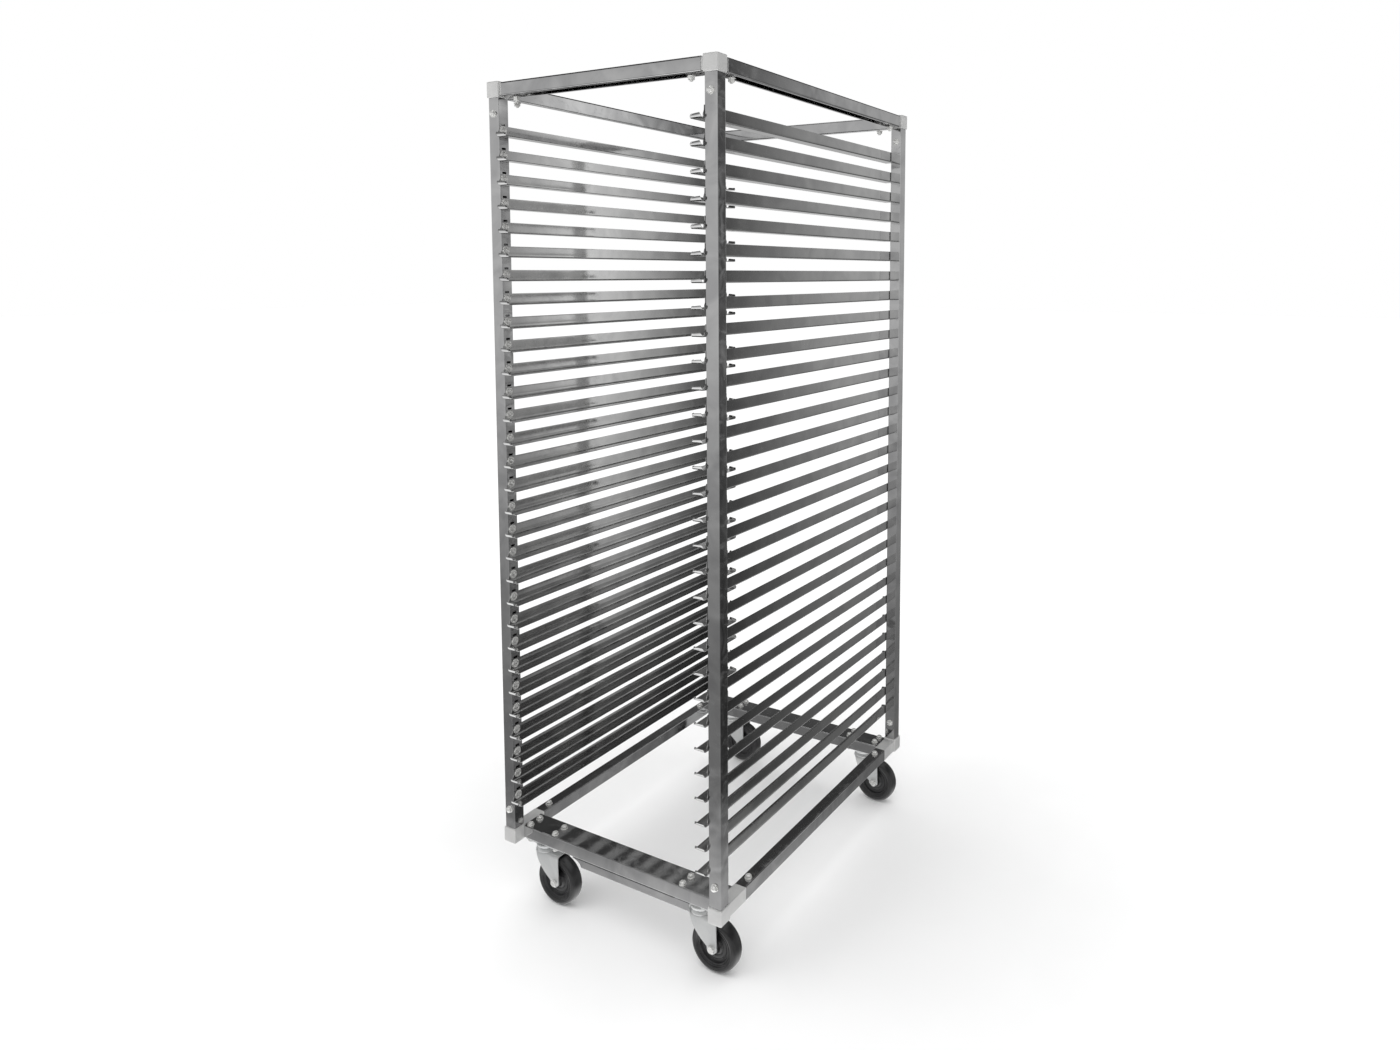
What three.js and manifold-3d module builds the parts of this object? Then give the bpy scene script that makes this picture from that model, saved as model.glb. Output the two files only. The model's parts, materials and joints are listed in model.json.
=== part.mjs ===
// Thirty-tier sheet pan rack: bolted square-tube frame, angle rails and four swivel casters.
// Millimetres. +X runs across the width, the loading face looks along -Y, +Z is up, floor at Z = 0.
import * as THREE from 'three';
import { mergeVertices } from 'three/addons/utils/BufferGeometryUtils.js';
import Module from 'manifold-3d';

const wasm = await Module();
wasm.setup();

// ---- Driving dimensions -------------------------------------------------------------------
const WIDTH = 530; // over the corner fittings
const DEPTH = 758; // over the corner fittings
const FRAME_HEIGHT = 1500; // over the corner fittings, casters not included
const CUBE = 30; // corner fitting block
const TUBE = 25.4; // one inch square tube
const WALL = 1.5; // tube wall
const INSET = (CUBE - TUBE) / 2; // tubes sit centred on the corner blocks
const GAP = 0.3; // seam between parts that touch

const TIERS = 30;
const PITCH = 45.15; // tier to tier
const TOP_WEB = 1417.6; // upper edge of the top rail above the frame's underside
const WEB_HEIGHT = 21.5;
const LEDGE_WIDTH = 25;
const SHEET = 1.2; // rail sheet thickness
const STOP_REACH = 8.5; // how far the turned-up pan stop leans out
const STOP_HEIGHT = 8; // how high the pan stop rises
const STOP_START = 0.5; // ledge overhang beyond the corner blocks before the stop
const RAILS_PER_BANK = 5;
const STRIP_WIDTH = 10; // tie strip of a rail bank, lying on the post

const BOLT_HEAD_R = 6.2; // M6 flanged hexagon, across corners
const BOLT_HEAD_H = 4.6;
const WASHER_R = 7.2;
const PLATE_NUT_R = 5.5; // nut under a caster plate
const WASHER_H = 1.2;
const SHANK_R = 3;
const HANGING_NUT_H = 5.5;
const HANGING_TIP = 2.5; // thread showing below a nut under a top beam
const POST_BOLT_TOP = 60; // from the frame's top to the upper post bolt
const POST_BOLT_BOTTOM = 69; // from the frame's underside to the lower post bolt
const BEAM_SEAM = 6; // stub showing between a corner block and a top beam
const BEAM_BOLT = 63; // from the outer corner to the bolt under a top beam
const STUB = 21.6; // fitting stub inside a tube
const STUB_TOP_LENGTH = 50; // stub reach beyond the corner block, top fittings
const ARM_END = 83; // visible arm of a bottom fitting ends here
const STUB_SIDE_LENGTH = 42;
const SIDE_BOLT = 110; // bolt on a bottom side rail, from the outer corner

const CROSS_FRONT = 24.5; // near face of a cross tube, from the frame's front
const CROSS_DEPTH = 50.8; // two by one inch tube
const STIFFENER_START = 160;
const STIFFENER_END = 442;
const STIFFENER_DROP = 13.5;

const CASTER_X = 74; // swivel axis from the frame's side
const CASTER_Y = 45.5; // swivel axis from the frame's front or rear
const TRAIL = 33; // swivel axis to wheel axle
const WHEEL_R = 48.7;
const WHEEL_HALF = 13.2;
const AXLE_DROP = 70.3; // axle below the frame's underside
const GROUND = AXLE_DROP + WHEEL_R; // frame's underside above the floor
const CROWN_TOP = -15; // fork crown below the frame's underside
const CROWN_THICK = 2.5;
const LEG_INNER = 15;
const LEG_THICK = 2.5;
const RACE_R = 21;
const PLATE_HALF_X = 43;
const PLATE_HALF_Y = 18.5;
const PLATE_THICK = 3;
const PLATE_BOLT_X = 33.75;
const PLATE_BOLT_Y = 12.5;
const KING_R = 6;
const AXLE_R = 5;
const RUNNING = 0.1; // radial running clearance

const WHEEL_OVERHANG = CASTER_X - TRAIL - WHEEL_R; // negative: wheels stand proud of the side
const ORIGIN_X = (WIDTH - Math.min(0, WHEEL_OVERHANG)) / 2; // middle of the overall width
const ORIGIN_Y = DEPTH / 2;

// ---- Solid helpers ------------------------------------------------------------------------
// Turn a three.js geometry into a manifold solid.
function solid(geometry) {
  const bare = geometry.clone();
  bare.deleteAttribute('normal');
  bare.deleteAttribute('uv');
  const merged = mergeVertices(bare, 1e-4);
  const triVerts = new Uint32Array(merged.index.array);
  const vertProperties = new Float32Array(merged.attributes.position.array);
  return new wasm.Manifold(new wasm.Mesh({ numProp: 3, vertProperties, triVerts }));
}

function box(x0, x1, y0, y1, z0, z1) {
  const geometry = new THREE.BoxGeometry(x1 - x0, y1 - y0, z1 - z0);
  geometry.translate((x0 + x1) / 2, (y0 + y1) / 2, (z0 + z1) / 2);
  return solid(geometry);
}

// Cylinder or regular prism about an axis line through (x, y, z), from `from` to `to` along it.
function rod(axis, x, y, z, radius, from, to, segments = 24, spin = 0) {
  const geometry = new THREE.CylinderGeometry(radius, radius, to - from, segments);
  geometry.rotateY(spin);
  const middle = (from + to) / 2;
  if (axis === 'x') {
    geometry.rotateZ(-Math.PI / 2);
    geometry.translate(middle, y, z);
  } else if (axis === 'y') {
    geometry.translate(x, middle, z);
  } else {
    geometry.rotateX(Math.PI / 2);
    geometry.translate(x, y, middle);
  }
  return solid(geometry);
}

// Outline in a plane, extruded along the third axis from `from` to `to`.
// plane 'yz' extrudes along X, 'xz' along Y, 'xy' along Z. Outline corners are [first, second].
function slab(plane, outline, from, to) {
  const shape = new THREE.Shape(outline.map(([u, v]) => new THREE.Vector2(u, v)));
  const geometry = new THREE.ExtrudeGeometry(shape, { depth: to - from, bevelEnabled: false });
  geometry.translate(0, 0, from);
  if (plane === 'yz') {
    geometry.rotateY(Math.PI / 2);
    geometry.rotateX(Math.PI / 2);
  } else if (plane === 'xz') {
    geometry.rotateX(Math.PI / 2);
    geometry.translate(0, from + to, 0);
  }
  return solid(geometry);
}

// Solid of revolution about Z: profile corners are [radius, height], counter-clockwise.
function turned(profile, segments) {
  const closed = [...profile, profile[0]].map(([r, h]) => new THREE.Vector2(r, h));
  const geometry = new THREE.LatheGeometry(closed, segments);
  geometry.rotateX(Math.PI / 2);
  return solid(geometry);
}

function union(parts) {
  return parts.reduce((sum, part) => sum.add(part));
}

const group = new THREE.Group();
group.name = 'sheet_pan_rack';

// Move a solid from frame coordinates to the part's own, and add it as a named mesh.
function add(name, shape, colour, metalness, roughness) {
  const placed = shape.translate([-ORIGIN_X, -ORIGIN_Y, GROUND]);
  const data = placed.getMesh();
  const geometry = new THREE.BufferGeometry();
  geometry.setAttribute('position', new THREE.BufferAttribute(data.vertProperties, 3));
  geometry.setIndex(new THREE.BufferAttribute(data.triVerts, 1));
  geometry.computeVertexNormals();
  const material = new THREE.MeshStandardMaterial({ color: colour, metalness, roughness });
  const mesh = new THREE.Mesh(geometry, material);
  mesh.name = name;
  group.add(mesh);
}

const STAINLESS = [0xc9cbcd, 1.0, 0.22];
const FITTING = [0xd8d9da, 1.0, 0.35];
const ZINC = [0xb9bdc0, 1.0, 0.4];
const RUBBER = [0x1c1c1d, 0.0, 0.6];
const NYLON = [0x262627, 0.0, 0.45];

// Mirror and quarter bookkeeping: a corner is named by its side (left or right) and end.
const SIDES = [['left', 'l'], ['right', 'r']];
const ENDS = [['front', 'f'], ['rear', 'r']];

// Mirror a solid built for the left side across the frame's middle.
function toSide(shape, side) {
  return side === 'left' ? shape : shape.mirror([1, 0, 0]).translate([WIDTH, 0, 0]);
}

// Mirror a solid built for the front end across the frame's middle.
function toEnd(shape, end) {
  return end === 'front' ? shape : shape.mirror([0, 1, 0]).translate([0, DEPTH, 0]);
}

// Hexagon bolt with washer. The washer lies on the plane at `seat`; `out` is +1 or -1 along axis.
function bolt(axis, x, y, z, seat, out, depth) {
  const span = (a, b) => (out > 0 ? [seat + a, seat + b] : [seat - b, seat - a]);
  const washer = span(0.05, WASHER_H);
  const head = span(WASHER_H - 0.1, WASHER_H + BOLT_HEAD_H);
  const shank = span(-depth, 0.2);
  return union([
    rod(axis, x, y, z, WASHER_R, washer[0], washer[1], 10),
    rod(axis, x, y, z, BOLT_HEAD_R, head[0], head[1], 6, Math.PI / 6),
    rod(axis, x, y, z, SHANK_R, shank[0], shank[1], 6),
  ]);
}

// Nut and thread end hanging below a top beam, on a shank that reaches up into a fitting's stub.
function hangingNut(x, y, seat) {
  const under = seat - 0.05;
  return union([
    rod('z', x, y, 0, WASHER_R, under - WASHER_H, under, 10),
    rod('z', x, y, 0, BOLT_HEAD_R, under - WASHER_H - HANGING_NUT_H, under - WASHER_H + 0.1, 6),
    rod('z', x, y, 0, SHANK_R, under - WASHER_H - HANGING_NUT_H - HANGING_TIP, seat + 12, 6),
  ]);
}

// ---- Rail positions -----------------------------------------------------------------------
const FACE = INSET + TUBE; // inner face of a post
const railBottom = (tier) => TOP_WEB - WEB_HEIGHT - PITCH * tier;

// ---- Posts --------------------------------------------------------------------------------
// Square tube, open at both ends, with hook slots above each rail and two bolt holes.
function post(end) {
  const low = CUBE + GAP;
  const high = FRAME_HEIGHT - CUBE - GAP;
  let shape = box(INSET, FACE, INSET, FACE, low, high);
  shape = shape.subtract(box(INSET + WALL, FACE - WALL, INSET + WALL, FACE - WALL, low - 1, high + 1));
  const cuts = [];
  for (let tier = 0; tier < TIERS; tier += 1) {
    const z = railBottom(tier) + WEB_HEIGHT + 1;
    cuts.push(box(FACE - WALL - 0.5, FACE + 0.5, 9, 19, z, z + 4));
  }
  // Every post is bolted through its -Y wall: the outer one in front, the inner one at the rear.
  const wallY = end === 'front' ? INSET : FACE - WALL;
  const holes = [FRAME_HEIGHT - POST_BOLT_TOP, POST_BOLT_BOTTOM];
  for (const z of holes) {
    cuts.push(rod('y', INSET + TUBE / 2, 0, z, SHANK_R + 0.4, wallY - 0.5, wallY + WALL + 0.5, 8));
  }
  return shape.subtract(union(cuts));
}

for (const [side, s] of SIDES) {
  for (const [end, e] of ENDS) {
    add(`post_${e}${s}`, toEnd(toSide(post(end), side), end), ...STAINLESS);
  }
}

// ---- Top beams ----------------------------------------------------------------------------
// Channel open underneath, with turned-in lips. Built along X at the front left corner.
const BEAM_LOW = FRAME_HEIGHT - INSET - TUBE;
const BEAM_HIGH = FRAME_HEIGHT - INSET;
const BEAM_LIP = 7;

function channelOutline(inner) {
  const lip = INSET + BEAM_LIP;
  const far = FACE - BEAM_LIP;
  return [
    [INSET, BEAM_LOW], [lip, BEAM_LOW], [lip, BEAM_LOW + WALL], [INSET + WALL, BEAM_LOW + WALL],
    [INSET + WALL, BEAM_HIGH - WALL], [FACE - WALL, BEAM_HIGH - WALL],
    [FACE - WALL, BEAM_LOW + WALL - inner], [far, BEAM_LOW + WALL - inner], [far, BEAM_LOW - inner],
    [FACE, BEAM_LOW - inner], [FACE, BEAM_HIGH], [INSET, BEAM_HIGH],
  ];
}

const INNER_DROP = 3; // the inner wall of a beam hangs a little lower
const beamStart = CUBE + BEAM_SEAM;
const crossBeam = slab('yz', channelOutline(INNER_DROP), beamStart, WIDTH - beamStart);
const sideBeam = slab('xz', channelOutline(INNER_DROP), beamStart, DEPTH - beamStart);
add('top_beam_front', crossBeam, ...STAINLESS);
add('top_beam_rear', toEnd(crossBeam, 'rear'), ...STAINLESS);
add('top_beam_left', sideBeam, ...STAINLESS);
add('top_beam_right', toSide(sideBeam, 'right'), ...STAINLESS);

// ---- Bottom side rails --------------------------------------------------------------------
const LOW_TOP = INSET + TUBE; // upper face of the bottom tubes
function sideRail() {
  const from = ARM_END + GAP;
  const to = DEPTH - ARM_END - GAP;
  const skin = box(INSET, FACE, from, to, INSET, LOW_TOP);
  const bore = box(INSET + WALL, FACE - WALL, from - 1, to + 1, INSET + WALL, LOW_TOP - WALL);
  const holes = [SIDE_BOLT, DEPTH - SIDE_BOLT].map((y) => (
    rod('z', INSET + TUBE / 2, y, 0, SHANK_R + 0.4, LOW_TOP - WALL - 0.5, LOW_TOP + 0.5, 8)));
  return skin.subtract(bore).subtract(union(holes));
}
add('side_rail_left', sideRail(), ...STAINLESS);
add('side_rail_right', toSide(sideRail(), 'right'), ...STAINLESS);

// ---- Cross tubes that carry the casters ---------------------------------------------------
// Rectangular tube between the bottom fittings, notched clear of the corner blocks.
const CASTER_CENTRES = [CASTER_X, WIDTH - CASTER_X];
function crossTube() {
  const from = FACE + GAP;
  const to = WIDTH - FACE - GAP;
  const near = CROSS_FRONT;
  const far = CROSS_FRONT + CROSS_DEPTH;
  const skin = box(from, to, near, far, INSET, LOW_TOP);
  const bore = box(from - 1, to + 1, near + WALL, far - WALL, INSET + WALL, LOW_TOP - WALL);
  const cuts = [];
  for (const x of [0, WIDTH]) {
    cuts.push(box(x - CUBE - GAP, x + CUBE + GAP, 0, CUBE + GAP, -5, CUBE + 5));
  }
  for (const cx of CASTER_CENTRES) {
    for (const dx of [-PLATE_BOLT_X, PLATE_BOLT_X]) {
      for (const dy of [-PLATE_BOLT_Y, PLATE_BOLT_Y]) {
        cuts.push(rod('z', cx + dx, CASTER_Y + dy, 0, SHANK_R + 0.4, -5, CUBE + 5, 8));
      }
    }
  }
  return skin.subtract(bore).subtract(union(cuts));
}
add('cross_tube_front', crossTube(), ...STAINLESS);
add('cross_tube_rear', toEnd(crossTube(), 'rear'), ...STAINLESS);

// ---- Stiffeners under the cross tubes -----------------------------------------------------
// Angle whose hanging leg is cut away in an arc at one end to clear the wheel.
function stiffener() {
  const top = INSET - GAP;
  const leg = slab('xz', [
    [STIFFENER_START, top], [STIFFENER_START + 9, top - 4.5], [STIFFENER_START + 16, top - 9.5],
    [STIFFENER_START + 21, -STIFFENER_DROP], [STIFFENER_END, -STIFFENER_DROP], [STIFFENER_END, top],
  ], CROSS_FRONT + 0.4, CROSS_FRONT + 2);
  const from = CASTER_X + PLATE_HALF_X + 48;
  const to = WIDTH - CASTER_X - PLATE_HALF_X - 4;
  return leg.add(box(from, to, CROSS_FRONT + 0.4, CROSS_FRONT + 22, top - 1.6, top));
}
add('stiffener_front', stiffener(), ...STAINLESS);
add('stiffener_rear', toSide(toEnd(stiffener(), 'rear'), 'right'), ...STAINLESS);

// ---- Corner fittings ----------------------------------------------------------------------
const MID = INSET + TUBE / 2; // centre line of a tube
const STUB_LOW = MID - STUB / 2;
const STUB_HIGH = MID + STUB / 2;

// Top fitting: block with three stubs and their bolts.
function topFitting(end) {
  const low = FRAME_HEIGHT - CUBE;
  const reach = CUBE + STUB_TOP_LENGTH;
  const stubZ0 = BEAM_LOW + WALL + 0.2;
  const stubZ1 = BEAM_HIGH - WALL - 0.2;
  const postBolt = FRAME_HEIGHT - POST_BOLT_TOP;
  const seatY = end === 'front' ? INSET : FACE; // bolts face -Y; rear corners are built mirrored
  const out = end === 'front' ? -1 : 1;
  return union([
    box(0, CUBE, 0, CUBE, low, FRAME_HEIGHT),
    box(STUB_LOW, STUB_HIGH, STUB_LOW, STUB_HIGH, low - STUB_TOP_LENGTH, low + 1),
    box(CUBE - 1, reach, STUB_LOW, STUB_HIGH, stubZ0, stubZ1),
    box(STUB_LOW, STUB_HIGH, CUBE - 1, reach, stubZ0, stubZ1),
    bolt('y', MID, 0, postBolt, seatY, out, 6),
    hangingNut(BEAM_BOLT, MID, BEAM_LOW - INNER_DROP),
    hangingNut(MID, BEAM_BOLT, BEAM_LOW - INNER_DROP),
  ]);
}

// Bottom fitting: block, an arm along the side, a stub in the post and one in the side rail.
function bottomFitting(end) {
  const seatY = end === 'front' ? INSET : FACE;
  const out = end === 'front' ? -1 : 1;
  return union([
    box(0, CUBE, 0, CUBE, 0, CUBE),
    box(STUB_LOW, STUB_HIGH, STUB_LOW, STUB_HIGH, CUBE - 1, CUBE + STUB_TOP_LENGTH),
    box(INSET, FACE, CUBE - 1, ARM_END, INSET, LOW_TOP),
    box(STUB_LOW, STUB_HIGH, ARM_END - 1, ARM_END + STUB_SIDE_LENGTH, STUB_LOW, STUB_HIGH),
    bolt('y', MID, 0, POST_BOLT_BOTTOM, seatY, out, 6),
    bolt('z', MID, SIDE_BOLT, 0, LOW_TOP, 1, 6),
  ]);
}

for (const [side, s] of SIDES) {
  for (const [end, e] of ENDS) {
    add(`top_fitting_${e}${s}`, toEnd(toSide(topFitting(end), side), end), ...FITTING);
    add(`bottom_fitting_${e}${s}`, toEnd(toSide(bottomFitting(end), side), end), ...FITTING);
  }
}

// ---- Rails --------------------------------------------------------------------------------
// One angle rail: upright web, level ledge and a leaning pan stop at each end.
const WEB_X = FACE + GAP;
const LEDGE_X = WEB_X + LEDGE_WIDTH;

function rail(bottom) {
  const top = bottom + WEB_HEIGHT;
  const nose = -STOP_START;
  const web = slab('yz', [
    [nose, bottom], [DEPTH - nose, bottom], [DEPTH - nose, bottom + 7], [DEPTH - INSET, bottom + 13],
    [DEPTH - INSET, top], [INSET, top], [INSET, bottom + 13], [nose, bottom + 7],
  ], WEB_X, WEB_X + SHEET);
  const ledge = box(WEB_X, LEDGE_X, nose, DEPTH - nose, bottom, bottom + SHEET);
  const tipY = nose - STOP_REACH;
  const tipZ = bottom + STOP_HEIGHT;
  const stop = slab('yz', [
    [nose, bottom], [nose, bottom + SHEET], [tipY, tipZ], [tipY, tipZ - SHEET * 1.5],
    [nose - 1, bottom],
  ], WEB_X, LEDGE_X - 1.5);
  return union([web, ledge, stop, stop.mirror([0, 1, 0]).translate([0, DEPTH, 0])]);
}

// A bank joins neighbouring rails with a narrow strip against each post.
function railBank(bank) {
  const first = bank * RAILS_PER_BANK;
  const last = first + RAILS_PER_BANK - 1;
  const parts = [];
  for (let tier = first; tier <= last; tier += 1) {
    parts.push(rail(railBottom(tier)));
  }
  const low = railBottom(last) + 1;
  const high = railBottom(first) + WEB_HEIGHT - 1;
  const start = MID - STRIP_WIDTH / 2;
  for (const y of [start, DEPTH - start - STRIP_WIDTH]) {
    parts.push(box(WEB_X, WEB_X + SHEET, y, y + STRIP_WIDTH, low, high));
  }
  return union(parts);
}

for (const [side] of SIDES) {
  for (let bank = 0; bank < TIERS / RAILS_PER_BANK; bank += 1) {
    add(`rails_${side}_${bank + 1}`, toSide(railBank(bank), side), ...STAINLESS);
  }
}

// ---- Casters ------------------------------------------------------------------------------
// Built about the swivel axis, z measured from the frame's underside.
// Mounting plate with upper race, king pin and the four bolts through the cross tube.
function casterMount() {
  const top = INSET - GAP;
  const under = top - PLATE_THICK;
  const parts = [
    box(-PLATE_HALF_X, PLATE_HALF_X, -PLATE_HALF_Y, PLATE_HALF_Y, under, top),
    rod('z', 0, 0, 0, RACE_R, -7.4, under + 0.1, 20),
    rod('z', 0, 0, 0, KING_R, CROWN_TOP - CROWN_THICK - 0.5, -7, 20),
    rod('z', 0, 0, 0, 10, CROWN_TOP - CROWN_THICK - 3.2, CROWN_TOP - CROWN_THICK - 0.2, 12),
  ];
  for (const dx of [-PLATE_BOLT_X, PLATE_BOLT_X]) {
    for (const dy of [-PLATE_BOLT_Y, PLATE_BOLT_Y]) {
      parts.push(bolt('z', dx, dy, 0, LOW_TOP, 1, LOW_TOP));
      parts.push(rod('z', dx, dy, 0, PLATE_NUT_R, under - 4.5, under + 0.1, 6, Math.PI / 6));
    }
  }
  return union(parts);
}

// Fork: lower race, crown and two legs that taper to the axle.
function fork() {
  const low = CROWN_TOP - CROWN_THICK;
  const crown = slab('xy', [
    [-15, -17.5], [-21, -12], [-24, -5], [-24, 5], [-21, 12], [-15, 17.5], [40, 17.5], [43, 12],
    [43, -12], [40, -17.5],
  ], low, CROWN_TOP);
  const round = 11;
  const steps = 6;
  const heel = [TRAIL + round * Math.cos(Math.PI * 1.14), -AXLE_DROP + round * Math.sin(Math.PI * 1.14)];
  // The leg's trailing edge starts upright and swings in towards the axle.
  const leg = [0, 0.35, 0.65, 0.85].map((part) => [
    -15 + (heel[0] + 15) * part ** 2, CROWN_TOP + (heel[1] - CROWN_TOP) * part]);
  for (let i = 0; i <= steps; i += 1) {
    const angle = Math.PI * (1.14 + (0.86 * i) / steps);
    leg.push([TRAIL + round * Math.cos(angle), -AXLE_DROP + round * Math.sin(angle)]);
  }
  leg.push([43, CROWN_TOP - 6], [42, CROWN_TOP]);
  const parts = [crown, rod('z', 0, 0, 0, RACE_R - 2, CROWN_TOP - 0.1, -7.9, 20)];
  for (const y of [-LEG_INNER - LEG_THICK, LEG_INNER]) {
    parts.push(slab('xz', leg, y, y + LEG_THICK));
  }
  let shape = union(parts);
  shape = shape.subtract(rod('z', 0, 0, 0, KING_R + RUNNING, low - 1, 0, 20));
  const reach = LEG_INNER + LEG_THICK + 1;
  return shape.subtract(rod('y', TRAIL, 0, -AXLE_DROP, AXLE_R + 0.2, -reach, reach, 16));
}

// Axle bolt with its head, nut and the spacer tube inside the wheel.
function axle() {
  const outer = LEG_INNER + LEG_THICK;
  return union([
    rod('y', TRAIL, 0, -AXLE_DROP, AXLE_R, -outer - 1, outer + 7, 16),
    rod('y', TRAIL, 0, -AXLE_DROP, 7.2, -outer - 5, -outer - 0.1, 6),
    rod('y', TRAIL, 0, -AXLE_DROP, 7.2, outer + 0.1, outer + 5.5, 6),
    rod('y', TRAIL, 0, -AXLE_DROP, 7, -LEG_INNER + 0.15, LEG_INNER - 0.15, 24),
  ]);
}

// Turned solids are made about Z, then laid along the axle.
function onAxle(shape) {
  return shape.rotate([90, 0, 0]).translate([TRAIL, 0, -AXLE_DROP]);
}

const HUB_HALF = WHEEL_HALF + 1;
const CORE_R = 33;
function wheelCore() {
  const profile = [[7 + RUNNING, -HUB_HALF], [11, -HUB_HALF], [13, -6], [29, -6], [30, -10.5],
    [CORE_R, -10.5], [CORE_R, 10.5], [30, 10.5], [29, 6], [13, 6], [11, HUB_HALF],
    [7 + RUNNING, HUB_HALF]];
  return onAxle(turned(profile, 24));
}

function tyre() {
  const inner = CORE_R + 0.3;
  const profile = [[inner, -10.5], [38, -WHEEL_HALF], [45, -WHEEL_HALF], [WHEEL_R, -6],
    [WHEEL_R, 6], [45, WHEEL_HALF], [38, WHEEL_HALF], [inner, 10.5]];
  return onAxle(turned(profile, 36));
}

for (const [side, s] of SIDES) {
  for (const [end, e] of ENDS) {
    const x = side === 'left' ? CASTER_X : WIDTH - CASTER_X;
    const y = end === 'front' ? CASTER_Y : DEPTH - CASTER_Y;
    const place = (shape) => shape.translate([x, y, 0]);
    add(`caster_mount_${e}${s}`, place(casterMount()), ...ZINC);
    add(`caster_fork_${e}${s}`, place(fork()), ...ZINC);
    add(`caster_axle_${e}${s}`, place(axle()), ...ZINC);
    add(`wheel_core_${e}${s}`, place(wheelCore()), ...NYLON);
    add(`wheel_tyre_${e}${s}`, place(tyre()), ...RUBBER);
  }
}

export default group;
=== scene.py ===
"""Looks of a thirty-tier sheet pan rack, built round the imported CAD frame. Metres, +Z up."""
import json
import math

import bmesh
import bpy
from mathutils import Euler, Matrix, Vector


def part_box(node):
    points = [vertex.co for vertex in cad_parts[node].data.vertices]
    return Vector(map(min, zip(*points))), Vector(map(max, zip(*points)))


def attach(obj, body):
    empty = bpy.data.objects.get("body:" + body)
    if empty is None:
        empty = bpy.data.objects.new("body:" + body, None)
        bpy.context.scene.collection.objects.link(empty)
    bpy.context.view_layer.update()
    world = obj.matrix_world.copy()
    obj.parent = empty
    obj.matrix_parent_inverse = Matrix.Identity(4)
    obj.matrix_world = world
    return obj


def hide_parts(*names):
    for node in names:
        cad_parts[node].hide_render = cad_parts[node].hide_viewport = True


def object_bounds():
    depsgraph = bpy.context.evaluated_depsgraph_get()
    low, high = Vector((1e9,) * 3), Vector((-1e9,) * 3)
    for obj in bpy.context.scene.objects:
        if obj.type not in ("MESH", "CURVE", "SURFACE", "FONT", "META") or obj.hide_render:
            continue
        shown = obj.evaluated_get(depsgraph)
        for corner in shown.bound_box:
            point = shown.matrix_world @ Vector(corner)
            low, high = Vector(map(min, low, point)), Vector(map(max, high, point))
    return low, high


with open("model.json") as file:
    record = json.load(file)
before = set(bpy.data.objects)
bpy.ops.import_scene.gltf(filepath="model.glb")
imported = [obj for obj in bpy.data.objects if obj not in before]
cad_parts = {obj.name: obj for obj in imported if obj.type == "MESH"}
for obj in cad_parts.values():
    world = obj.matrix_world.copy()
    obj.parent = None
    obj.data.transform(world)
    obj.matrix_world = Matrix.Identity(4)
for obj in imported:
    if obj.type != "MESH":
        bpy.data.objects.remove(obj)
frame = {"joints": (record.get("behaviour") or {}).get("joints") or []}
CAD_LOW, CAD_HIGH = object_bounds()

MM = 0.001

# ---- Sizes taken from the CAD nodes ---------------------------------------------------------
POST_LOW, POST_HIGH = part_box("post_fl")
RIGHT_POST_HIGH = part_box("post_fr")[1]
CENTRE_X = (POST_LOW.x + RIGHT_POST_HIGH.x) / 2
TUBE = POST_HIGH.x - POST_LOW.x
CUBE_LOW, CUBE_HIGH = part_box("bottom_fitting_fl")
OUTER_X = CUBE_LOW.x
CUBE = CUBE_HIGH.x - CUBE_LOW.x
FRAME_FLOOR = CUBE_LOW.z
FRAME_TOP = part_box("top_fitting_fl")[1].z
INSET = POST_LOW.x - OUTER_X
OUTER_Y = POST_LOW.y - INSET
SEAM = POST_LOW.z - FRAME_FLOOR - CUBE
BANKS = 6
PER_BANK = 5
BANK_LOW, BANK_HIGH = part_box("rails_left_1")
NEXT_BANK_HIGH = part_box("rails_left_2")[1]
PITCH = (BANK_HIGH.z - NEXT_BANK_HIGH.z) / PER_BANK
WEB_HEIGHT = BANK_HIGH.z - BANK_LOW.z - PITCH * (PER_BANK - 1)
LEDGE = BANK_HIGH.x - BANK_LOW.x
RAIL_TIP = BANK_LOW.y

# ---- Details that the CAD leaves out --------------------------------------------------------
WALL = 1.5 * MM
TUBE_RADIUS = 2.0 * MM
SHEET = 1.2 * MM
SHEET_BEND = 2.6 * MM
FIXING_RADIUS = 8.6 * MM
FIXING_Y = 12.3 * MM
FIXING_Z = 12.6 * MM
BOLT_FLAT = 5.4 * MM
BOLT_HEAD = 4.2 * MM
WASHER_RADIUS = 7.1 * MM
WASHER = 1.2 * MM
SWIRL_SCALE = 34.0
POST_BOLT_TOP = 60 * MM
MOULDED_SHINE = 0.9


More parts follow.
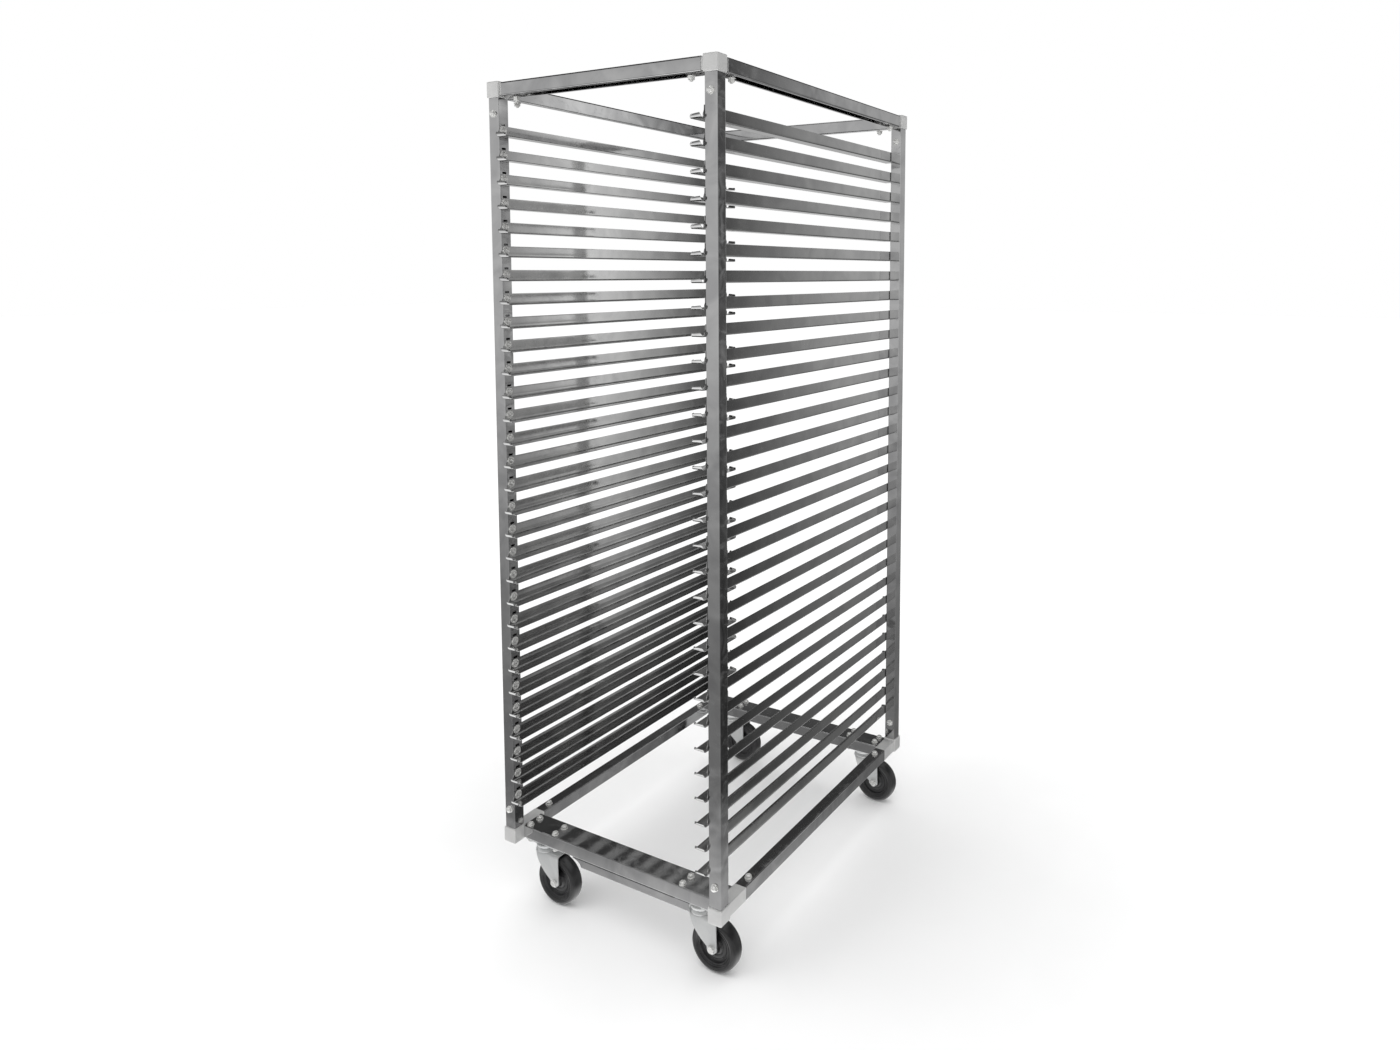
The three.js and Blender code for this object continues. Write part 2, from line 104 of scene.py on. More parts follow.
# ---- Mesh helpers ---------------------------------------------------------------------------
def make_piece(bm, name, material, body, replaced=(), sharp=38.0, bevel=0.0,
               segments=2, thickness=0.0, bevel_angle=40.0):
    """Turn a bmesh into a shaded piece that rides on a CAD body."""
    bmesh.ops.recalc_face_normals(bm, faces=bm.faces[:])
    mesh = bpy.data.meshes.new(name)
    bm.to_mesh(mesh)
    bm.free()
    mesh.polygons.foreach_set("use_smooth", [True] * len(mesh.polygons))
    piece = bpy.data.objects.new(name, mesh)
    bpy.context.collection.objects.link(piece)
    mesh.materials.append(material)
    if thickness:
        solid = piece.modifiers.new("Sheet", "SOLIDIFY")
        solid.thickness = thickness
        solid.offset = 0.0
        solid.use_even_offset = True
    if bevel:
        edge = piece.modifiers.new("Edges", "BEVEL")
        edge.width = bevel
        edge.segments = segments
        edge.limit_method = "ANGLE"
        edge.angle_limit = math.radians(bevel_angle)
        edge.harden_normals = False
    if not thickness:
        mesh.set_sharp_from_angle(angle=math.radians(sharp))
    weigh = piece.modifiers.new("Normals", "WEIGHTED_NORMAL")
    weigh.keep_sharp = True
    weigh.weight = 60
    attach(piece, body)
    if replaced:
        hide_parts(*replaced)
    return piece


def flip(bm, across_x, across_y):
    """Mirror a mesh built at the front left across the frame's middle planes."""
    for vert in bm.verts:
        if across_x:
            vert.co.x = 2 * CENTRE_X - vert.co.x
        if across_y:
            vert.co.y = -vert.co.y
    if across_x != across_y:
        bmesh.ops.reverse_faces(bm, faces=bm.faces[:])


def rounded_outline(u0, u1, v0, v1, radius, steps=4):
    """Rectangle with rounded corners, counter-clockwise, as a list of (u, v)."""
    corners = [(u1 - radius, v0 + radius, -90), (u1 - radius, v1 - radius, 0),
               (u0 + radius, v1 - radius, 90), (u0 + radius, v0 + radius, 180)]
    outline = []
    for cu, cv, start in corners:
        for step in range(steps + 1):
            angle = math.radians(start + 90 * step / steps)
            outline.append((cu + radius * math.cos(angle), cv + radius * math.sin(angle)))
    return outline


def along(axis, u, v, w):
    """Point with w along the axis, and u, v on the other two in X, Y, Z order."""
    if axis == "x":
        return Vector((w, u, v))
    if axis == "y":
        return Vector((u, w, v))
    return Vector((u, v, w))


def add_loop(bm, axis, outline, w):
    return [bm.verts.new(along(axis, u, v, w)) for u, v in outline]


def bridge(bm, first, second):
    count = len(first)
    for i in range(count):
        j = (i + 1) % count
        bm.faces.new((first[i], first[j], second[j], second[i]))


def add_bar(bm, axis, low, high, radius, steps=3):
    """Solid bar between two corners, with its long edges rounded."""
    spans = {"x": ("y", "z"), "y": ("x", "z"), "z": ("x", "y")}[axis]
    u0, u1 = getattr(low, spans[0]), getattr(high, spans[0])
    v0, v1 = getattr(low, spans[1]), getattr(high, spans[1])
    outline = rounded_outline(u0, u1, v0, v1, radius, steps)
    first = add_loop(bm, axis, outline, getattr(low, axis))
    last = add_loop(bm, axis, outline, getattr(high, axis))
    bridge(bm, first, last)
    bm.faces.new(first)
    bm.faces.new(last)


def add_tube(bm, axis, low, high, radius, wall):
    """Open rectangular tube between two corners, with rounded corners inside and out."""
    spans = {"x": ("y", "z"), "y": ("x", "z"), "z": ("x", "y")}[axis]
    u0, u1 = getattr(low, spans[0]), getattr(high, spans[0])
    v0, v1 = getattr(low, spans[1]), getattr(high, spans[1])
    outer = rounded_outline(u0, u1, v0, v1, radius)
    inner = rounded_outline(u0 + wall, u1 - wall, v0 + wall, v1 - wall, max(radius - wall, wall / 3))
    loops = []
    for w in (getattr(low, axis), getattr(high, axis)):
        loops.append((add_loop(bm, axis, outer, w), add_loop(bm, axis, inner, w)))
    bridge(bm, loops[0][0], loops[1][0])
    bridge(bm, loops[0][1], loops[1][1])
    bridge(bm, loops[0][0], loops[0][1])
    bridge(bm, loops[1][0], loops[1][1])


def folded(points, thickness, bend, steps=4):
    """Closed outline of a folded sheet whose middle line runs through the points."""
    line = []
    for i, point in enumerate(points):
        here = Vector(point)
        if i in (0, len(points) - 1):
            line.append(here)
            continue
        before = (Vector(points[i - 1]) - here).normalized()
        after = (Vector(points[i + 1]) - here).normalized()
        half = before.angle(after) / 2
        reach = bend / math.tan(half)
        centre = here + (before + after).normalized() * (bend / math.sin(half))
        start = here + before * reach - centre
        end = here + after * reach - centre
        for step in range(steps + 1):
            mix = start.slerp(end, step / steps, start)
            line.append(centre + mix.normalized() * bend)
    sides = []
    for i, here in enumerate(line):
        ahead = line[min(i + 1, len(line) - 1)] - line[max(i - 1, 0)]
        normal = Vector((-ahead.y, ahead.x)).normalized() * (thickness / 2)
        sides.append((here + normal, here - normal))
    return [tuple(s[0]) for s in sides] + [tuple(s[1]) for s in reversed(sides)]


def add_prism(bm, axis, outline, low, high):
    first = add_loop(bm, axis, outline, low)
    last = add_loop(bm, axis, outline, high)
    bridge(bm, first, last)
    bm.faces.new(first)
    bm.faces.new(last)


def add_lathe(bm, centre, axis, profile, segments=48, phase=0.0):
    """Turned solid about an axis through the centre; profile is [(radius, height)]."""
    rings = []
    for radius, height in profile:
        if radius < 1e-6:
            rings.append([bm.verts.new(centre + along(axis, 0, 0, height))])
            continue
        ring = []
        for i in range(segments):
            angle = phase + 2 * math.pi * i / segments
            ring.append(bm.verts.new(centre + along(
                axis, radius * math.cos(angle), radius * math.sin(angle), height)))
        rings.append(ring)
    for first, second in zip(rings, rings[1:]):
        if len(first) == 1 or len(second) == 1:
            point, ring = (first[0], second) if len(first) == 1 else (second[0], first)
            for i in range(segments):
                bm.faces.new((point, ring[i], ring[(i + 1) % segments]))
        else:
            bridge(bm, first, second)


def add_hex(bm, centre, axis, flat, start, end, phase=0.0):
    """Hexagon head or nut between two heights, with its end corners turned off."""
    corner = flat / math.cos(math.pi / 6)
    sign = 1 if end > start else -1
    chamfer = flat * 0.16 * sign
    rings = []
    segments = 24
    for height, cap in ((start, corner), (end - chamfer, corner), (end, flat * 0.93)):
        ring = []
        for i in range(segments):
            angle = phase + 2 * math.pi * i / segments
            away = (angle - phase) % (math.pi / 3) - math.pi / 6
            radius = min(flat / math.cos(away), cap)
            ring.append(bm.verts.new(centre + along(
                axis, radius * math.cos(angle), radius * math.sin(angle), height)))
        rings.append(ring)
    bridge(bm, rings[0], rings[1])
    bridge(bm, rings[1], rings[2])
    bm.faces.new(rings[0])
    bm.faces.new(rings[2])


def add_bolt(bm, seat, axis, out, head=BOLT_HEAD, tip=0.0, flat=BOLT_FLAT, phase=0.0):
    """Washer and hexagon head standing on a seat; out is +1 or -1 along the axis."""
    washer = [(0, 0), (WASHER_RADIUS - 0.3 * MM, 0), (WASHER_RADIUS, 0.3 * MM),
              (WASHER_RADIUS, WASHER - 0.35 * MM), (WASHER_RADIUS - 0.35 * MM, WASHER), (0, WASHER)]
    add_lathe(bm, seat, axis, [(r, out * h) for r, h in washer], 32)
    add_hex(bm, seat, axis, flat, out * (WASHER - 0.05 * MM), out * (WASHER + head), phase)
    if not tip:
        crown = WASHER + head - 0.4 * MM
        dome = [(0, 0), (0.86, 0), (0.84, 0.42), (0.74, 0.86), (0.55, 1.2), (0.3, 1.4), (0, 1.47)]
        add_lathe(bm, seat, axis, [(r * flat, out * (crown + h * MM)) for r, h in dome], 24)
    if tip:
        top = WASHER + head
        end = [(0, top - MM), (2.9 * MM, top - MM), (2.9 * MM, top + tip - 0.5 * MM),
               (2.3 * MM, top + tip), (0, top + tip)]
        add_lathe(bm, seat, axis, [(r, out * h) for r, h in end], 24)


# ---- Materials ------------------------------------------------------------------------------
class Graph:
    """Small wrapper that makes and links shader nodes."""

    def __init__(self, tree):
        self.tree = tree
        tree.nodes.clear()

    def node(self, kind, settings=None, **inputs):
        made = self.tree.nodes.new("ShaderNode" + kind)
        for key, value in (settings or {}).items():
            setattr(made, key, value)
        for key, value in inputs.items():
            self.put(made, key.replace("_", " "), value)
        return made

    def put(self, made, socket, value):
        target = made.inputs[int(socket)] if socket.isdigit() else made.inputs[socket]
        if hasattr(value, "links"):
            self.tree.links.new(value, target)
        else:
            target.default_value = value

    def maths(self, operation, first, second=0.0, third=None, clamp=False):
        made = self.node("Math", {"operation": operation, "use_clamp": clamp})
        self.put(made, "0", first)
        self.put(made, "1", second)
        if third is not None:
            self.put(made, "2", third)
        return made.outputs[0]

    def ramp(self, factor, *stops):
        made = self.node("ValToRGB")
        self.put(made, "Fac", factor)
        elements = made.color_ramp.elements
        for i, (place, level) in enumerate(stops):
            element = elements[i] if i < 2 else elements.new(place)
            element.position = place
            element.color = (level, level, level, 1)
        return made.outputs["Color"]

    def noise(self, vector, scale, detail=2.0, distortion=0.0, roughness=0.5):
        made = self.node("TexNoise", Vector=vector, Scale=scale, Detail=detail,
                         Distortion=distortion, Roughness=roughness)
        return made.outputs["Fac"]

    def stretched(self, coordinates, scale):
        made = self.node("Mapping", Vector=coordinates, Scale=scale)
        return made.outputs["Vector"]

    def mix(self, factor, first, second):
        made = self.node("Mix", {"data_type": "RGBA"})
        self.put(made, "0", factor)
        self.put(made, "6", first)
        self.put(made, "7", second)
        return made.outputs[2]

    def bump(self, height, distance, strength=1.0, normal=None):
        made = self.node("Bump", Height=height, Distance=distance, Strength=strength)
        if normal is not None:
            self.put(made, "Normal", normal)
        return made.outputs["Normal"]


def swirl_marks(g, place):
    """Uneven rings that the polishing wheel left round the upper bolt of each post."""
    parts = g.node("SeparateXYZ", Vector=place)
    off_centre = g.maths("ABSOLUTE", g.maths("SUBTRACT", parts.outputs[0], CENTRE_X))
    reach = (RIGHT_POST_HIGH.x - POST_LOW.x - TUBE) / 2
    across = g.maths("SUBTRACT", off_centre, reach)
    up = g.maths("SUBTRACT", parts.outputs[2], FRAME_TOP - POST_BOLT_TOP)
    around = g.node("CombineXYZ", X=across, Z=up).outputs[0]
    rings = g.node("TexWave", {"wave_type": "RINGS", "rings_direction": "SPHERICAL"},
                   Vector=around, Scale=SWIRL_SCALE, Distortion=5.0, Detail=2.0)
    distance = g.node("VectorMath", {"operation": "LENGTH"})
    g.put(distance, "0", around)
    near = g.ramp(g.maths("MULTIPLY", distance.outputs["Value"], 10.0), (0.25, 1.0), (0.75, 0.0))
    return g.maths("MULTIPLY", rings.outputs["Fac"], near)


def steel(name, dark, light, rough, smudge, wave, wave_scale, grain_scale, grain, speck=0.0,
          swirl=0.0, metal=1.0):
    """Metal with cloudy polish, finger marks, a drawn grain along one axis and gentle waves."""
    made = bpy.data.materials.new(name)
    made.use_nodes = True
    g = Graph(made.node_tree)
    place = g.node("TexCoord").outputs["Object"]
    cloud = g.noise(place, 14.0, 4.0, 1.1)
    marks = g.noise(g.stretched(place, (1.0, 1.0, 1.6)), 26.0, 3.0, 1.6, 0.5)
    grain_noise = g.noise(g.stretched(place, grain_scale), 1.0, 3.0, 0.0, 0.65)
    swell = g.noise(place, wave_scale, 1.0, 0.6)
    tone = g.mix(g.ramp(cloud, (0.32, 0.0), (0.68, 1.0)), (*dark, 1), (*light, 1))
    smear = g.ramp(marks, (0.5, 0.0), (0.72, 1.0))
    rough_cloud = g.maths("MULTIPLY_ADD", cloud, rough * 0.8, rough * 0.6)
    rough_grain = g.maths("MULTIPLY_ADD", grain_noise, rough * 0.5, rough_cloud)
    roughness = g.maths("MULTIPLY_ADD", smear, smudge, rough_grain, clamp=True)
    normal = g.bump(swell, wave)
    if swirl:
        normal = g.bump(swirl_marks(g, place), swirl, 1.0, normal)
    normal = g.bump(grain_noise, grain, 1.0, normal)
    if speck:
        dots = g.node("TexVoronoi", {"feature": "F1"}, Vector=place, Scale=130.0)
        near = g.ramp(dots.outputs["Distance"], (0.03, 1.0), (0.09, 0.0))
        some = g.ramp(g.noise(place, 9.0, 2.0), (0.56, 0.0), (0.66, 1.0))
        spots = g.maths("MULTIPLY", near, some)
        tone = g.mix(g.maths("MULTIPLY", spots, speck), tone, (0.9, 0.9, 0.88, 1))
        roughness = g.maths("MULTIPLY_ADD", spots, 0.5, roughness, clamp=True)
    shader = g.node("BsdfPrincipled", Base_Color=tone, Metallic=metal, Roughness=roughness,
                    Normal=normal)
    out = g.node("OutputMaterial")
    g.put(out, "Surface", shader.outputs["BSDF"])
    return made


def moulded(name, dark, light, rough, scale, height, scuff):
    """Moulded rubber or nylon with a fine texture, dust and scuffs."""
    made = bpy.data.materials.new(name)
    made.use_nodes = True
    g = Graph(made.node_tree)
    place = g.node("TexCoord").outputs["Object"]
    fine = g.noise(place, scale, 4.0)
    cloud = g.noise(place, 35.0, 4.0, 0.8)
    worn = g.ramp(g.noise(place, 90.0, 6.0, 1.5, 0.65), (0.55, 0.0), (0.75, 1.0))
    tone = g.mix(g.ramp(cloud, (0.35, 0.0), (0.7, 1.0)), (*dark, 1), (*light, 1))
    tone = g.mix(g.maths("MULTIPLY", worn, scuff), tone, (0.16, 0.155, 0.15, 1))
    roughness = g.maths("MULTIPLY_ADD", cloud, 0.22, rough, clamp=True)
    roughness = g.maths("MULTIPLY_ADD", worn, 0.12, roughness, clamp=True)
    normal = g.bump(fine, height)
    shader = g.node("BsdfPrincipled", Base_Color=tone, Roughness=roughness, Normal=normal)
    shader.inputs["Specular IOR Level"].default_value = MOULDED_SHINE
    out = g.node("OutputMaterial")
    g.put(out, "Surface", shader.outputs["BSDF"])
    return made


ALONG_GRAIN = 14.0
ACROSS_GRAIN = 900.0


def polished_tube(name, lengthwise, wave, wave_scale, swirl=0.0):
    """Polished tube steel whose grain runs along one axis; lengthwise is 0, 1 or 2 for X, Y or Z."""
    grain_scale = tuple(ALONG_GRAIN if axis == lengthwise else ACROSS_GRAIN for axis in range(3))
    return steel(name, (0.52, 0.52, 0.525), (0.68, 0.68, 0.68), 0.05, 0.10, wave, wave_scale,
                 grain_scale, 0.0015 * MM, 0.25, swirl)


TUBE_Z = polished_tube("polished_tube_upright", 2, 0.9 * MM, 17.0, 0.035 * MM)
TUBE_Y = polished_tube("polished_tube_deep", 1, 0.4 * MM, 14.0)
TUBE_X = polished_tube("polished_tube_wide", 0, 0.2 * MM, 14.0)
RAIL = steel("rail_sheet", (0.54, 0.54, 0.54), (0.66, 0.66, 0.655), 0.05, 0.04,
             0.18 * MM, 6.0, (700.0, 5.0, 700.0), 0.0003 * MM, 0.15)
SATIN = steel("satin_fitting", (0.72, 0.72, 0.715), (0.84, 0.84, 0.83), 0.27, 0.12,
              0.1 * MM, 40.0, (500.0, 500.0, 60.0), 0.002 * MM, metal=0.65)
ZINC = steel("zinc_plate", (0.66, 0.67, 0.67), (0.78, 0.785, 0.78), 0.36, 0.15,
             0.15 * MM, 60.0, (300.0, 300.0, 300.0), 0.004 * MM, metal=0.75)
BRIGHT = steel("bright_fastener", (0.86, 0.86, 0.84), (0.97, 0.97, 0.95), 0.20, 0.12,
               0.05 * MM, 90.0, (400.0, 400.0, 400.0), 0.004 * MM, metal=0.75)
TYRE = moulded("black_rubber", (0.006, 0.006, 0.0065), (0.013, 0.013, 0.014), 0.24, 900.0,
               0.01 * MM, 0.12)
CORE = moulded("black_nylon", (0.008, 0.008, 0.0085), (0.016, 0.016, 0.017), 0.2, 700.0,
               0.008 * MM, 0.1)

CORNERS = (("fl", False, False), ("fr", True, False), ("rl", False, True), ("rr", True, True))
SIDES = (("left", False), ("right", True))
ENDS = (("front", False), ("rear", True))


def rail_bottom(tier):
    return BANK_HIGH.z - WEB_HEIGHT - PITCH * tier


# ---- Posts ----------------------------------------------------------------------------------
SLOT_WIDTH = 10 * MM
SLOT_HEIGHT = 4 * MM
SLOT_Y = 14 * MM
SLOT_GAP = 1 * MM


def tube_mesh(axis, low, high):
    bm = bmesh.new()
    add_tube(bm, axis, low, high, TUBE_RADIUS, WALL)
    return bm


def cut_mesh(bm, tools):
    """Subtract the tools from a closed bmesh and return the result as a new bmesh."""
    objects = []
    for label, source in (("blank", bm), ("tools", tools)):
        bmesh.ops.recalc_face_normals(source, faces=source.faces[:])
        mesh = bpy.data.meshes.new(label)
        source.to_mesh(mesh)
        source.free()
        made = bpy.data.objects.new(label, mesh)
        bpy.context.collection.objects.link(made)
        objects.append(made)
    blank, tool = objects
    cut = blank.modifiers.new("Cut", "BOOLEAN")
    cut.operation = "DIFFERENCE"
    cut.solver = "EXACT"
    cut.object = tool
    graph = bpy.context.evaluated_depsgraph_get()
    result = bpy.data.meshes.new_from_object(blank.evaluated_get(graph))
    out = bmesh.new()
    out.from_mesh(result)
    for made in objects:
        bpy.data.objects.remove(made)
    return out


for corner, right, rear in CORNERS:
    bm = tube_mesh("z", POST_LOW, POST_HIGH)
    tools = bmesh.new()
    for tier in range(BANKS * PER_BANK):
        z = rail_bottom(tier) + WEB_HEIGHT + SLOT_GAP
        near, far = OUTER_Y + SLOT_Y - SLOT_WIDTH / 2, OUTER_Y + SLOT_Y + SLOT_WIDTH / 2
        add_bar(tools, "x", Vector((POST_HIGH.x - 2 * WALL, near, z)),
                Vector((POST_HIGH.x + SLOT_GAP, far, z + SLOT_HEIGHT)), MM)
    bm = cut_mesh(bm, tools)
    flip(bm, right, rear)
    make_piece(bm, "post_tube_" + corner, TUBE_Z, "frame", ["post_" + corner])


# ---- Top beams ------------------------------------------------------------------------------
BEAM_LOW, BEAM_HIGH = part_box("top_beam_front")
BEAM_DROP = BEAM_HIGH.z - BEAM_LOW.z - TUBE
BEAM_LIP = 7 * MM
BEAM_BEND = 2.4 * MM


def channel(near, far):
    """Outline of a beam, open underneath, between its outer and inner walls."""
    half = SHEET / 2 + 0.15 * MM
    thick = 2 * half
    low_near = BEAM_LOW.z + BEAM_DROP + half
    low_far = BEAM_LOW.z + half
    top = BEAM_HIGH.z - half
    points = [(near + BEAM_LIP, low_near), (near + half, low_near), (near + half, top),
              (far - half, top), (far - half, low_far), (far - BEAM_LIP, low_far)]
    return folded(points, thick, BEAM_BEND)


for name, rear in ENDS:
    bm = bmesh.new()
    outline = channel(POST_LOW.y, POST_HIGH.y)
    add_prism(bm, "x", outline, BEAM_LOW.x, BEAM_HIGH.x)
    flip(bm, False, rear)
    make_piece(bm, "top_channel_" + name, TUBE_X, "frame", ["top_beam_" + name])
SIDE_LOW, SIDE_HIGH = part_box("top_beam_left")
for name, right in SIDES:
    bm = bmesh.new()
    outline = channel(POST_LOW.x, POST_HIGH.x)
    add_prism(bm, "y", outline, SIDE_LOW.y, SIDE_HIGH.y)
    flip(bm, right, False)
    make_piece(bm, "top_channel_" + name, TUBE_Y, "frame", ["top_beam_" + name])


# ---- Bottom tubes ---------------------------------------------------------------------------
for name, right in SIDES:
    low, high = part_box("side_rail_left")
    bm = tube_mesh("y", low, high)
    flip(bm, right, False)
    make_piece(bm, "side_tube_" + name, TUBE_Y, "frame", ["side_rail_" + name])

NOTCH = CUBE + SEAM
CROSS_LOW, CROSS_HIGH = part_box("cross_tube_front")
for name, rear in ENDS:
    bm = tube_mesh("x", CROSS_LOW, CROSS_HIGH)
    tools = bmesh.new()
    for side in (False, True):
        tool = bmesh.new()
        add_bar(tool, "z", Vector((OUTER_X - 5 * MM, OUTER_Y - 5 * MM, FRAME_FLOOR - 5 * MM)),
                Vector((OUTER_X + NOTCH, OUTER_Y + NOTCH, FRAME_FLOOR + CUBE + 5 * MM)), MM)
        flip(tool, side, False)
        temp = bpy.data.meshes.new("temp")
        tool.to_mesh(temp)
        tools.from_mesh(temp)
        tool.free()
    bm = cut_mesh(bm, tools)
    flip(bm, rear, rear)
    make_piece(bm, "cross_tube_" + name + "_skin", TUBE_X, "frame",
               ["cross_tube_" + name])


# ---- Stiffeners under the cross tubes -------------------------------------------------------
STIFF_LOW, STIFF_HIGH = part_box("stiffener_front")
STIFF_SHEET = 1.6 * MM
STIFF_LEDGE_START = 6 * MM
STIFF_LEDGE_STOP = 34 * MM
STIFF_LIP = 2 * MM
ARC_REACH = 21 * MM
for name, rear in ENDS:
    bm = bmesh.new()
    drop = STIFF_HIGH.z - STIFF_LOW.z
    outline = [(STIFF_LOW.x, STIFF_HIGH.z)]
    for step in range(9):
        turn = math.radians(90 * step / 8)
        outline.append((STIFF_LOW.x + ARC_REACH * math.sin(turn) ** 1.2,
                        STIFF_HIGH.z - STIFF_LIP - (drop - STIFF_LIP) * (1 - math.cos(turn))))
    outline += [(STIFF_HIGH.x, STIFF_LOW.z), (STIFF_HIGH.x, STIFF_HIGH.z)]
    add_prism(bm, "y", outline, STIFF_LOW.y, STIFF_LOW.y + STIFF_SHEET)
    ledge_floor = STIFF_HIGH.z - STIFF_SHEET
    add_bar(bm, "x", Vector((STIFF_LOW.x + STIFF_LEDGE_START, STIFF_LOW.y, ledge_floor)),
            Vector((STIFF_HIGH.x - STIFF_LEDGE_STOP, STIFF_HIGH.y, STIFF_HIGH.z)), 0.5 * MM)
    flip(bm, rear, rear)
    make_piece(bm, "stiffener_angle_" + name, TUBE_X, "frame",
               ["stiffener_" + name], bevel=0.4 * MM)


# ---- Corner fittings and their bolts --------------------------------------------------------
STUB = 21.6 * MM
STUB_REACH = 50 * MM
ARM_STUB_REACH = 42 * MM
CUBE_ROUND = 2.2 * MM
POST_BOLT_BOTTOM = 69 * MM
BEAM_BOLT = 63 * MM
SIDE_BOLT = 110 * MM
ARM_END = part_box("side_rail_left")[0].y - SEAM
MID_X = (POST_LOW.x + POST_HIGH.x) / 2
MID_Y = (POST_LOW.y + POST_HIGH.y) / 2
HANG = 5.5 * MM
HANG_TIP = 2.5 * MM


def add_cube(bm, x0, x1, y0, y1, z0, z1):
    """Block with every edge and corner rounded."""
    made = bmesh.ops.create_cube(bm, size=1.0)
    middle = Vector(((x0 + x1) / 2, (y0 + y1) / 2, (z0 + z1) / 2))
    size = Vector((x1 - x0, y1 - y0, z1 - z0))
    for vert in made["verts"]:
        vert.co = middle + Vector((vert.co.x * size.x, vert.co.y * size.y, vert.co.z * size.z))
    edges = list({edge for vert in made["verts"] for edge in vert.link_edges})
    bmesh.ops.bevel(bm, geom=edges, offset=CUBE_ROUND, segments=4, profile=0.5, affect="EDGES")


for corner, right, rear in CORNERS:
    half = STUB / 2
    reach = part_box("top_fitting_fl")[1].x
    bm = bmesh.new()
    low = FRAME_TOP - CUBE
    add_cube(bm, OUTER_X, OUTER_X + CUBE, OUTER_Y, OUTER_Y + CUBE, low, FRAME_TOP)
    add_cube(bm, MID_X - half, MID_X + half, MID_Y - half, MID_Y + half, low - STUB_REACH, low + MM)
    z0, z1 = BEAM_HIGH.z - TUBE + 1.8 * MM, BEAM_HIGH.z - 1.8 * MM
    add_cube(bm, OUTER_X + CUBE - MM, reach, MID_Y - half, MID_Y + half, z0, z1)
    add_cube(bm, MID_X - half, MID_X + half, OUTER_Y + CUBE - MM,
             OUTER_Y + reach - OUTER_X, z0, z1)
    flip(bm, right, rear)
    make_piece(bm, "top_corner_" + corner, SATIN, "frame",
               ["top_fitting_" + corner], sharp=60)

    bm = bmesh.new()
    floor = FRAME_FLOOR
    add_cube(bm, OUTER_X, OUTER_X + CUBE, OUTER_Y, OUTER_Y + CUBE, floor, floor + CUBE)
    add_cube(bm, MID_X - half, MID_X + half, MID_Y - half, MID_Y + half, floor + CUBE - MM,
             floor + CUBE + STUB_REACH)
    add_bar(bm, "y", Vector((POST_LOW.x, OUTER_Y + CUBE - MM, floor + INSET)),
            Vector((POST_HIGH.x, ARM_END, floor + INSET + TUBE)), 1.2 * MM)
    add_cube(bm, MID_X - half, MID_X + half, ARM_END - MM, ARM_END + ARM_STUB_REACH,
             floor + INSET + 2 * MM, floor + INSET + TUBE - 2 * MM)
    flip(bm, right, rear)
    make_piece(bm, "bottom_corner_" + corner, SATIN, "frame",
               ["bottom_fitting_" + corner], sharp=60)

    bm = bmesh.new()
    wall_y = POST_LOW.y if not rear else POST_HIGH.y
    out = -1 if not rear else 1
    turn = 0.15 if right else 0.4
    for z in (FRAME_TOP - POST_BOLT_TOP, FRAME_FLOOR + POST_BOLT_BOTTOM):
        add_bolt(bm, Vector((MID_X, wall_y, z)), "y", out, phase=turn + z)
    beam_floor = BEAM_LOW.z - 0.05 * MM
    for x, y in ((OUTER_X + BEAM_BOLT, MID_Y), (MID_X, OUTER_Y + BEAM_BOLT)):
        add_bolt(bm, Vector((x, y, beam_floor)), "z", -1, HANG, HANG_TIP, phase=turn)
    add_bolt(bm, Vector((MID_X, OUTER_Y + SIDE_BOLT, floor + INSET + TUBE)), "z", 1, phase=turn)
    flip(bm, right, rear)
    make_piece(bm, "frame_bolts_" + corner, BRIGHT, "frame", bevel=0.25 * MM,
               bevel_angle=30)


# ---- Rails ----------------------------------------------------------------------------------
WEB_X = BANK_LOW.x
NOSE_Y = OUTER_Y - 0.5 * MM
TIP_HEIGHT = 7.4 * MM
TIP_REACH = NOSE_Y - RAIL_TIP - SHEET / 2 - 0.4 * MM
TIP_CORNER = 4 * MM
TIP_TURN = 62
TIP_TAPER = 0.3


def rail_columns():
    """Middle line of the rail's section, from the web's top to the ledge's free edge."""
    half = SHEET / 2
    columns = [(half, WEB_HEIGHT), (half, WEB_HEIGHT - 2 * MM), (half, 13 * MM), (half, 10 * MM),
               (half, 7 * MM), (half, half + SHEET_BEND)]
    for step in range(1, 5):
        turn = math.radians(90 * step / 5)
        columns.append((half + SHEET_BEND * (1 - math.cos(turn)),
                        half + SHEET_BEND * (1 - math.sin(turn))))
    start = half + SHEET_BEND
    for step in range(7):
        columns.append((start + (LEDGE - start - 0.6 * MM) * step / 6, half))
    columns.append((LEDGE - 0.1 * MM, half - 0.25 * MM))
    return columns


def web_end(height):
    """How far a web column reaches towards the front at a height above the ledge."""
    if height >= 13 * MM:
        return POST_LOW.y
    if height <= 7 * MM:
        return NOSE_Y
    return NOSE_Y + (POST_LOW.y - NOSE_Y) * (height - 7 * MM) / (6 * MM)


def tab_path():
    """Rows of the pan stop from the ledge to its tip, as (reach, rise, inset)."""
    rows = []
    count = 8
    for step in range(1, count + 1):
        part = step / count
        turn = math.radians(TIP_TURN * part)
        reach = math.sin(turn) / math.sin(math.radians(TIP_TURN))
        rise = (1 - math.cos(turn)) / (1 - math.cos(math.radians(TIP_TURN)))
        over = max(0.0, part - 0.5) / 0.5
        rows.append((reach, rise, TIP_CORNER * (1 - math.sqrt(max(0.0, 1 - over * over)))))
    return rows


